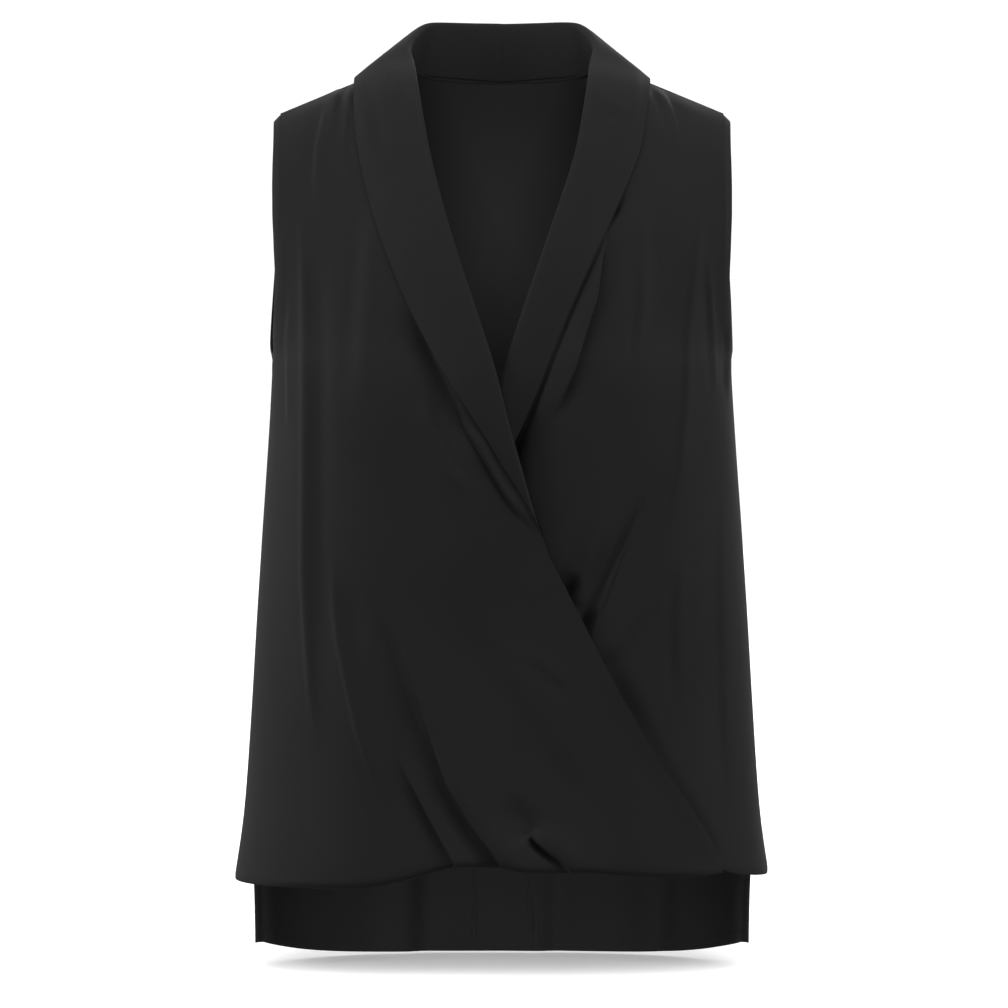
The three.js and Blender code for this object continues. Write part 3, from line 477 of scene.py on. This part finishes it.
# The back is one panel of the crepe, cut on the fold. It is longer than the fronts and open at the sides
# below them, and long soft folds hang from the shoulder blades to its hem.
BACK_CREASES = [
    dict(path=[(-120, -40), (-118, -120), (-112, -240), (-108, -380)],
         right=(1.6, 12), left=(-1.2, 14), step=8),
    dict(path=[(112, -60), (116, -150), (110, -260), (104, -330)], right=(1.3, 11), left=(-1.4, 13), step=8),
    dict(path=[(-60, -330), (-66, -450), (-70, -580), (-72, -735)],
         right=(1.8, 18), left=(-1.6, 18), step=9, fall=0),
    dict(path=[(30, -380), (36, -480), (40, -600), (38, -735)],
         right=(1.4, 16), left=(-1.8, 20), step=9, fall=0),
    dict(path=[(142, -300), (140, -420), (134, -560), (130, -735)], right=(1.8, 8), left=(1.8, 8), fall=0),
    dict(path=[(-150, -260), (-154, -400), (-150, -520)], right=(1.6, 10), left=(1.2, 12), step=5),
    dict(path=[(-20, -90), (-26, -200), (-18, -310)], right=(1.4, 22), left=(-1.2, 20), step=12),
    dict(path=[(70, -130), (60, -260), (66, -420)], right=(-1.4, 18), left=(1.2, 16), step=10),
]


HOLLOW = -3.0
HOLLOW_BEHIND = (0, 11)
HOLLOW_BEFORE = (52, 20)
HOLLOW_BELOW = (-632, -665)


def beside_the_vents(places):
    """The turned edges of the side vents stand out from a shallow hollow beside them."""
    y, z = places[:, 1] / MM, places[:, 2] / MM
    return HOLLOW * smooth(*HOLLOW_BEHIND, y) * smooth(*HOLLOW_BEFORE, y) * smooth(*HOLLOW_BELOW, z)


back = one_side("back", "back_panel", (0, 1, 0))
back_edge = dress(back, BACK_CREASES, seed=3, more=beside_the_vents)
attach(back, "root")
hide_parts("back")

# The shawl collar is cut double from the crepe, turned over and sewn round the neck. Its halves are joined
# at the centre back, and the right one tapers to an end on the lapping edge.
COLLAR_THICKNESS = 1.5 * MM
COLLAR_SEEDS = {"right": 6, "left": 7}
COLLAR_UNREST_HEIGHT = 0.8
COLLAR_UNREST_SIZE = (40, 60)
COLLAR_FACES_FRONT = (0, -0.3)
COLLAR_CREASES = {
    "right": [
        dict(path=[(-96, 6), (-84, -22), (-74, -52)], right=(1.2, 6), left=(-1.6, 5)),
        dict(path=[(-112, -10), (-104, -44), (-98, -80)], right=(-1.2, 8), left=(1.2, 8)),
        dict(path=[(-60, -75), (-78, -98), (-96, -110)], right=(1.0, 10), left=(-0.8, 10)),
    ],
    "left": [
        dict(path=[(72, -24), (84, -40), (98, -48)], right=(1.4, 5), left=(-1.6, 6)),
        dict(path=[(70, -40), (80, -60), (84, -84)], right=(-1.2, 6), left=(1.4, 5)),
        dict(path=[(112, 0), (108, -34), (100, -62)], right=(-1.0, 8), left=(1.2, 8)),
    ],
}
CENTRE_SEAM_REACH = 0.6 * MM
SINKS_FROM = -285 * MM
END_SINKS = 1.6 * MM
TIP_SINKS_FROM = -357 * MM
TIP_SINKS = 3.2 * MM
RUNS_OUT_FROM = -322 * MM
RUNS_OUT_AT = -376 * MM
RUN_OUT_SHARE = 0.8
RUN_OUT_LINE = np.array([(9, -322), (17, -340), (24, -357), (30, -374)]) * MM


def make_collar(side):
    """One half of the collar. It is creased where it faces the front, and the right one's end sinks in."""
    collar = one_side(f"collar_{side}", f"collar_{side}_half", (0, -1, 0))
    places, normals = places_of(collar.data), normals_of(collar.data)
    x, z = places[:, 0] / MM, places[:, 2] / MM
    height = unrest(places, COLLAR_SEEDS[side], COLLAR_UNREST_HEIGHT, *COLLAR_UNREST_SIZE)
    for fold in COLLAR_CREASES[side]:
        height += crease(x, z, **fold)[0]
    in_front = smooth(*COLLAR_FACES_FRONT, normals[:, 1])
    places += normals * (height * in_front * MM)[:, None]
    at_centre = np.abs(places[:, 0]) < CENTRE_SEAM_REACH
    places[at_centre, 0] = 0
    if side == "right":
        share = RUN_OUT_SHARE * smooth(RUNS_OUT_FROM, RUNS_OUT_AT, places[:, 2])
        line = np.interp(-places[:, 2], -RUN_OUT_LINE[:, 1], RUN_OUT_LINE[:, 0])
        places[:, 0] += share * (line - places[:, 0])
        places[:, 1] += END_SINKS * smooth(SINKS_FROM, RUNS_OUT_AT, places[:, 2])
        places[:, 1] += TIP_SINKS * smooth(TIP_SINKS_FROM, RUNS_OUT_AT, places[:, 2])
    collar.data.vertices.foreach_set("co", places.ravel())
    collar.data.update()
    thicken(collar, COLLAR_THICKNESS)
    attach(collar, "root")
    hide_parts(f"collar_{side}")
    return collar


collar_right = make_collar("right")
collar_left = make_collar("left")

# Each armhole is finished by a narrow band of the same crepe, cut on the bias. It is sewn to the edges of
# the front and the back, carries them on into the opening and turns under.
ARMHOLE_MIDDLE = (0, -135)
ARMHOLE_STARTS = 158
ARMHOLE_HEIGHTS = (-241, -28)
OFF_THE_SEAMS = 0.4
BAND_STEPS = 144
BAND_EVENS = 3
BAND_REACH = 6.5
BAND_SECTION = [(3.6, -0.95), (3.6, -1.4), (0, -1.5), (-5.4, -1.4), (-6.3, -1.15), (-6.5, -0.7), (-6.3, -0.2),
                (-5.4, 0.12), (-3, 0.2), (-0.9, 0.1), (-0.15, -0.2), (-0.1, -0.95)]


def even_out(rings):
    """Rings with the unevenness of their neighbours taken out."""
    steps = range(-3 * BAND_EVENS, 3 * BAND_EVENS + 1)
    shares = [math.exp(-((step / BAND_EVENS) ** 2)) for step in steps]
    return sum(share * np.roll(rings, step, 0) for share, step in zip(shares, steps)) / sum(shares)


def make_armhole_band(side_name, side, front_edge):
    """A band swept round the edge of the front and the back, in order of its turn about the middle."""
    edge = np.concatenate([front_edge, back_edge])
    height_there = (edge[:, 2] > ARMHOLE_HEIGHTS[0]) & (edge[:, 2] < ARMHOLE_HEIGHTS[1])
    edge = edge[height_there & (side * edge[:, 0] > ARMHOLE_STARTS) & (np.abs(edge[:, 1]) > OFF_THE_SEAMS)]
    turn = np.arctan2(edge[:, 2] - ARMHOLE_MIDDLE[1], edge[:, 1] - ARMHOLE_MIDDLE[0])
    order = np.argsort(turn)
    at = np.linspace(-math.pi, math.pi, BAND_STEPS, endpoint=False)
    rings = np.stack([np.interp(at, turn[order], column[order], period=2 * math.pi) for column in edge.T], 1)
    evened = even_out(rings)
    sewn, free, normals = rings[:, :3], evened[:, :3], evened[:, 3:]
    normals = normals / np.linalg.norm(normals, axis=1)[:, None]
    along = np.roll(free, -1, 0) - np.roll(free, 1, 0)
    along /= np.linalg.norm(along, axis=1)[:, None]
    away = np.cross(along, normals)
    away *= np.sign((away[:, 1:] * (free[:, 1:] - ARMHOLE_MIDDLE)).sum(1))[:, None]
    across = len(BAND_SECTION)
    corners = []
    for ring in range(BAND_STEPS):
        for reach, height in BAND_SECTION:
            share = min(max(-reach / BAND_REACH, 0), 1)
            start = sewn[ring] * (1 - share) + free[ring] * share
            corners.append(tuple((start + reach * away[ring] + height * normals[ring]) * MM))
    faces = [
        (ring * across + i, ring * across + (i + 1) % across,
         (ring + 1) % BAND_STEPS * across + (i + 1) % across, (ring + 1) % BAND_STEPS * across + i)
        for ring in range(BAND_STEPS) for i in range(across)
    ]
    mesh = bpy.data.meshes.new(f"armhole_{side_name}")
    mesh.from_pydata(corners, [], faces)
    band = bpy.data.objects.new(f"armhole_{side_name}", mesh)
    bpy.context.scene.collection.objects.link(band)
    only(band)
    bpy.ops.object.mode_set(mode="EDIT")
    bpy.ops.mesh.select_all(action="SELECT")
    bpy.ops.mesh.normals_make_consistent(inside=False)
    bpy.ops.object.mode_set(mode="OBJECT")
    bpy.ops.object.shade_smooth_by_angle(angle=SHADE_ANGLE)
    band.data.materials.append(CREPE)
    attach(band, "root")
    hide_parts(f"armhole_band_{side_name}")
    return band


armhole_right = make_armhole_band("right", -1, right_front_edge)
armhole_left = make_armhole_band("left", 1, left_front_edge)

# The back's hem is turned in and stitched down with a spun thread that is as black as the crepe. The turned
# strip shows inside, and the row of stitches shows on both sides of the cloth.
STITCH_LENGTH = 2.3 * MM
STITCH_PITCH = 3.3 * MM
THREAD_THICKNESS = 0.42 * MM
THREAD_SIDES = 8
THREAD_RINGS = 6
TURNED_THICKNESS = 0.5 * MM
TURNED_SHADE_ANGLE = math.radians(40)

thread = bpy.data.materials.new("thread")
thread.use_nodes = True
spun = thread.node_tree.nodes["Principled BSDF"]
spun.inputs["Base Color"].default_value = (0.017, 0.017, 0.018, 1)
spun.inputs["Roughness"].default_value = 0.5
spun.inputs["Specular IOR Level"].default_value = 0.35


def surface_of(piece):
    mesh = bmesh.new()
    mesh.from_mesh(piece.data)
    surface = BVHTree.FromBMesh(mesh)
    mesh.free()
    return surface


SURFACES = {piece: surface_of(piece) for piece in (back, collar_right, collar_left)}


def meets(piece, start, way, lift):
    """Where a line from a start, in mm, meets a piece, lifted off it, and which way the cloth faces there."""
    place, normal = SURFACES[piece].ray_cast(Vector(start) * MM, Vector(way).normalized())[:2]
    if normal.dot(Vector(way)) > 0:
        normal = -normal
    return place + normal * lift, normal


def turned_edge(name, rows):
    """A narrow strip of cloth through rows of places with their normals."""
    corners = [place for row in rows for place, normal in row]
    across = len(rows[0])
    faces = [
        (row * across + i, row * across + i + 1, (row + 1) * across + i + 1, (row + 1) * across + i)
        for row in range(len(rows) - 1) for i in range(across - 1)
    ]
    mesh = bpy.data.meshes.new(name)
    mesh.from_pydata(corners, [], faces)
    if mesh.polygons[0].normal.dot(rows[0][0][1]) < 0:
        mesh.flip_normals()
    edge = bpy.data.objects.new(name, mesh)
    bpy.context.scene.collection.objects.link(edge)
    finish_with(edge, "SOLIDIFY", thickness=TURNED_THICKNESS, offset=1)
    only(edge)
    bpy.ops.object.shade_smooth_by_angle(angle=TURNED_SHADE_ANGLE)
    edge.data.materials.append(CREPE)
    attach(edge, "root")
    return edge


def sew(name, seams):
    """Stitches along seams, each a row of places with their normals."""
    bpy.ops.object.select_all(action="DESELECT")
    bpy.ops.mesh.primitive_uv_sphere_add(segments=THREAD_SIDES, ring_count=THREAD_RINGS, radius=0.5)
    first = bpy.context.object
    first.scale = (STITCH_LENGTH, THREAD_THICKNESS, THREAD_THICKNESS)
    bpy.ops.object.transform_apply(location=False, rotation=False, scale=True)
    bpy.ops.object.shade_smooth()
    first.data.materials.append(thread)
    stitches = []
    for seam in seams:
        places = np.array([place for place, normal in seam])
        normals = np.array([normal for place, normal in seam])
        lengths = np.concatenate([[0], np.cumsum(np.linalg.norm(places[1:] - places[:-1], axis=1))])
        for at in np.arange(STITCH_PITCH / 2, lengths[-1] - STITCH_LENGTH / 2, STITCH_PITCH):
            near, middle, far = (
                Vector([np.interp(at + step, lengths, places[:, axis]) for axis in range(3)])
                for step in (-STITCH_LENGTH / 2, 0, STITCH_LENGTH / 2)
            )
            up = Vector([np.interp(at, lengths, normals[:, axis]) for axis in range(3)])
            along = (far - near).normalized()
            side = up.cross(along).normalized()
            turn = Matrix((along, side, along.cross(side))).transposed().to_4x4()
            stitch = first.copy()
            stitch.matrix_world = Matrix.Translation(middle) @ turn
            bpy.context.scene.collection.objects.link(stitch)
            stitches.append(stitch)
    bpy.data.objects.remove(first)
    bpy.ops.object.select_all(action="DESELECT")
    for stitch in stitches:
        stitch.select_set(True)
    bpy.context.view_layer.objects.active = stitches[0]
    bpy.ops.object.join()
    row = bpy.context.object
    row.name = name
    bpy.ops.object.transform_apply(location=True, rotation=True, scale=True)
    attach(row, "root")
    return row


HEM_STEPS = 120
HEM_DEPTH = 9.5
HEM_ROWS = (1.4, 3.4, 6.2, HEM_DEPTH)
HEM_ENDS = 0.03
STITCH_INSET = 1.3
HEM_STITCHES_AT = HEM_DEPTH - STITCH_INSET
LIFT = 0.08 * MM
ON_TURNED = LIFT + TURNED_THICKNESS
ON_CLOTH = 0.05 * MM
INSIDE_SHARE = 0.5
OUTSIDE_SHARE = 1.4
low_edge = places_of(back.data) / MM
low_edge_turn = np.arctan2(low_edge[:, 1], low_edge[:, 0])


def hem_place(turn):
    """The lowest point of the back in one direction from the middle."""
    near = low_edge[np.abs(low_edge_turn - turn) < HEM_ENDS / 2]
    return near[near[:, 2].argmin()]


HEM_TURNS = np.linspace(HEM_ENDS, math.pi - HEM_ENDS, HEM_STEPS)
HEM_PLACES = np.array([hem_place(turn) for turn in HEM_TURNS])


def along_hem(height, lift, outside=False):
    """Places on the back at a height above its edge, found from inside it or from outside."""
    share, way = (OUTSIDE_SHARE, -1) if outside else (INSIDE_SHARE, 1)
    return [
        meets(back, (x * share, y * share, z + height), (way * x, way * y, 0), lift) for x, y, z in HEM_PLACES
    ]


back_hem = turned_edge("back_hem_turned", [along_hem(height, LIFT) for height in HEM_ROWS])
back_hem_stitches = sew("back_hem_stitches", [
    along_hem(HEM_STITCHES_AT, ON_TURNED), along_hem(HEM_STITCHES_AT, ON_CLOTH, outside=True)
])

# The side vents are the back's free edges below the fronts. They are turned in and stitched as its hem is,
# with the same thread.
VENT_TOP = -652
VENT_FOOT = -692
VENT_STEPS = 24
VENT_DEPTH = 8
VENT_ROWS = (1, 3, 5.5, VENT_DEPTH)
INSIDE_X = 90
OUTSIDE_X = 240


def along_vent(side, depth, lift, outside=False):
    """Places on the back at a depth behind its free edge, found from inside it or from outside."""
    start, way = (OUTSIDE_X * side, -side) if outside else (INSIDE_X * side, side)
    heights = np.linspace(VENT_TOP, VENT_FOOT, VENT_STEPS)
    return [meets(back, (start, depth, z), (way, 0, 0), lift) for z in heights]


vent_edges = [
    turned_edge(f"vent_{name}_turned", [along_vent(side, depth, LIFT) for depth in VENT_ROWS])
    for name, side in (("right", -1), ("left", 1))
]
vent_stitches = sew("vent_stitches", [
    along_vent(side, VENT_DEPTH - STITCH_INSET, ON_CLOTH if outside else ON_TURNED, outside)
    for side in (-1, 1) for outside in (False, True)
])

# A narrow edge of the crepe is stitched down over the neck seam, inside the collar, with the same thread.
# It runs round the back of the neck.
NECK_LINE = np.array([(-64, 46.5, -4.3), (-36, 58, -5.6), (0, 62, -8), (36, 58, -5.6), (64, 46.5, -4.3)])
NECK_STEPS = 48
NECK_ROWS = (1.6, 2.6, 3.8)
NECK_STITCHES_AT = 3.1
NECK_AT = np.linspace(NECK_LINE[0, 0], NECK_LINE[-1, 0], NECK_STEPS)


def along_neck(height, lift):
    """Places inside the collar at a height above the neck seam."""
    seam = []
    for x in NECK_AT:
        y, z = np.interp(x, NECK_LINE[:, 0], NECK_LINE[:, 1]), np.interp(x, NECK_LINE[:, 0], NECK_LINE[:, 2])
        half = collar_right if x < 0 else collar_left
        seam.append(meets(half, (INSIDE_SHARE * x, INSIDE_SHARE * y, z + height), (x, y, 0), lift))
    return seam


turned_edge("neck_edge", [along_neck(height, LIFT) for height in NECK_ROWS])
sew("neck_stitches", [along_neck(NECK_STITCHES_AT, ON_TURNED)])

# A small square of stitches holds the two layers of the collar together at the centre back. It is sewn
# with the same thread and shows inside the neck.
TACK_CORNERS = [(-3.4, 29), (-3.4, 22), (1.2, 22), (1.2, 29), (-3.4, 29)]
TACK_SEEN_FROM = 10
tack = []
for (x, z), (next_x, next_z) in zip(TACK_CORNERS, TACK_CORNERS[1:]):
    for share in (0, 0.5, 1):
        at = (x + share * (next_x - x), TACK_SEEN_FROM, z + share * (next_z - z))
        tack.append(meets(collar_right if at[0] < 0 else collar_left, at, (0, 1, 0), ON_CLOTH))
sew("collar_tack", [tack])

# The floor is plain and pale, and the studio's light is broad and soft. The floor has a light of its own,
# and so has the inside of the back, which the neckline shows.
FLOOR_LEVEL = -721 * MM
FLOOR_SIZE = 60
bpy.ops.object.select_all(action="DESELECT")
bpy.ops.mesh.primitive_plane_add(size=FLOOR_SIZE, location=(0, 0, FLOOR_LEVEL))
floor = bpy.context.object
floor.name = "floor"
pale = bpy.data.materials.new("pale_floor")
pale.use_nodes = True
paper = pale.node_tree
shown = paper.nodes["Principled BSDF"]
shown.inputs["Base Color"].default_value = (0.9, 0.9, 0.9, 1)
shown.inputs["Roughness"].default_value = 0.9
shown.inputs["Specular IOR Level"].default_value = 0
shown.inputs["Emission Color"].default_value = (1, 1, 1, 1)
shown.inputs["Emission Strength"].default_value = 0.34
reflected = paper.nodes.new("ShaderNodeBsdfDiffuse")
reflected.inputs["Color"].default_value = (0.12, 0.12, 0.12, 1)
ray = paper.nodes.new("ShaderNodeLightPath")
chosen = paper.nodes.new("ShaderNodeMixShader")
paper.links.new(ray.outputs["Is Camera Ray"], chosen.inputs["Fac"])
paper.links.new(reflected.outputs["BSDF"], chosen.inputs[1])
paper.links.new(shown.outputs["BSDF"], chosen.inputs[2])
paper.links.new(chosen.outputs["Shader"], paper.nodes["Material Output"].inputs["Surface"])
floor.data.materials.append(pale)

MIDDLE = (0, 0, -0.35)
FLOOR_MIDDLE = (0, 0, -0.7)


def soft_light(name, place, aim, power, size=None, kind="AREA", only_on=None):
    """A lamp at a place, turned to where it aims. It lights all pieces, or only those that are given."""
    light = bpy.data.lights.new(name, kind)
    light.energy = power
    if size:
        light.shape = "RECTANGLE"
        light.size, light.size_y = size
    lamp = bpy.data.objects.new(name, light)
    lamp.location = place
    lamp.rotation_euler = (Vector(aim) - Vector(place)).to_track_quat("-Z", "Y").to_euler()
    bpy.context.scene.collection.objects.link(lamp)
    if only_on:
        receivers = bpy.data.collections.new(f"lit_by_{name}")
        for piece in only_on:
            receivers.objects.link(piece)
        lamp.light_linking.receiver_collection = receivers
    return light


soft_light("left", (-2.8, -1.2, 0.3), MIDDLE, 20.5, size=(0.9, 1.6))
soft_light("right", (2.8, -1.2, 0.3), MIDDLE, 16, size=(0.9, 1.6))
soft_light("front", (-0.2, -3.4, 0.5), MIDDLE, 2.5, size=(1.2, 1.2))
soft_light("top", (0, -0.9, 1.9), MIDDLE, 11, size=(1.6, 0.8))
soft_light("rim_left", (-2.8, 0.8, 0.1), MIDDLE, 9, size=(0.6, 1.6))
soft_light("rim_right", (2.8, 0.8, 0.1), MIDDLE, 1, size=(0.6, 1.6))
soft_light("behind", (0.6, 2.8, 0.9), MIDDLE, 26, size=(2.4, 1.6))
soft_light("inside", (0, -3.3, -0.75), MIDDLE, 82, size=(1.3, 0.6), only_on=[
    back, back_hem, back_hem_stitches, *vent_edges, vent_stitches, armhole_right, armhole_left
])
over_floor = soft_light("over_floor", (0, -2, 1.3), FLOOR_MIDDLE, 3.6, kind="SUN", only_on=[floor])
over_floor.angle = math.radians(45)

world = bpy.data.worlds.new("studio")
world.use_nodes = True
air = world.node_tree
seen, lighting = air.nodes["Background"], air.nodes.new("ShaderNodeBackground")
seen.inputs["Color"].default_value = (1, 1, 1, 1)
seen.inputs["Strength"].default_value = 1.1
lighting.inputs["Color"].default_value = (1, 1, 1, 1)
lighting.inputs["Strength"].default_value = 0.44
path = air.nodes.new("ShaderNodeLightPath")
either = air.nodes.new("ShaderNodeMixShader")
air.links.new(path.outputs["Is Camera Ray"], either.inputs["Fac"])
air.links.new(lighting.outputs["Background"], either.inputs[1])
air.links.new(seen.outputs["Background"], either.inputs[2])
air.links.new(either.outputs["Shader"], air.nodes["World Output"].inputs["Surface"])
bpy.context.scene.world = world
bpy.context.scene.view_settings.view_transform = "Standard"
